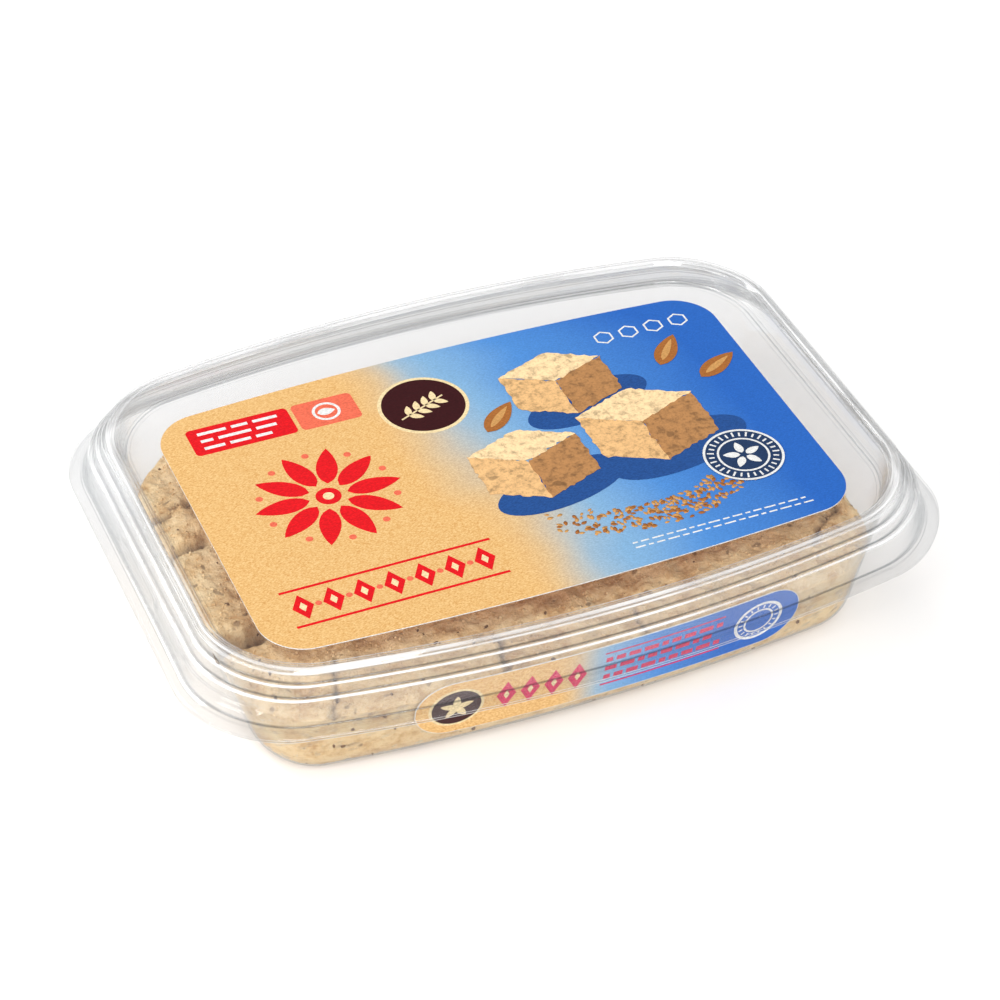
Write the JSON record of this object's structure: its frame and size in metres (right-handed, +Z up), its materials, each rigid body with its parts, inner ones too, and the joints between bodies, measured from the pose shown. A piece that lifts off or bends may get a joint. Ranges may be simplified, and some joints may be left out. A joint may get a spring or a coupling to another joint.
{
  "type": "tub of sesame halva",
  "caption": "Pressed sesame halva in a shut clear plastic tub with a ridged press-on lid, a printed label on the lid and a long round-ended sticker on the front wall.",
  "frame": {"origin": "middle of the box round the pack, on the surface that it stands on", "axes": "+X along the long side towards the right, -Y towards the front with the long sticker, +Z up"},
  "size_m": [0.184, 0.1388, 0.0406],
  "materials": {
    "clear_plastic": "clear thermoformed sheet, glossy",
    "halva": "dry crumbly pressed sesame, matte",
    "lid_label": "printed label with a satin face, tan at the left running to blue at the right",
    "side_label": "printed sticker with a satin face, tan at the left running to blue at the right"
  },
  "bodies": {
    "root": {"tub": "clear_plastic", "lid": "clear_plastic", "halva": "halva", "top_label": "lid_label", "front_label": "side_label"}
  },
  "joints": []
}
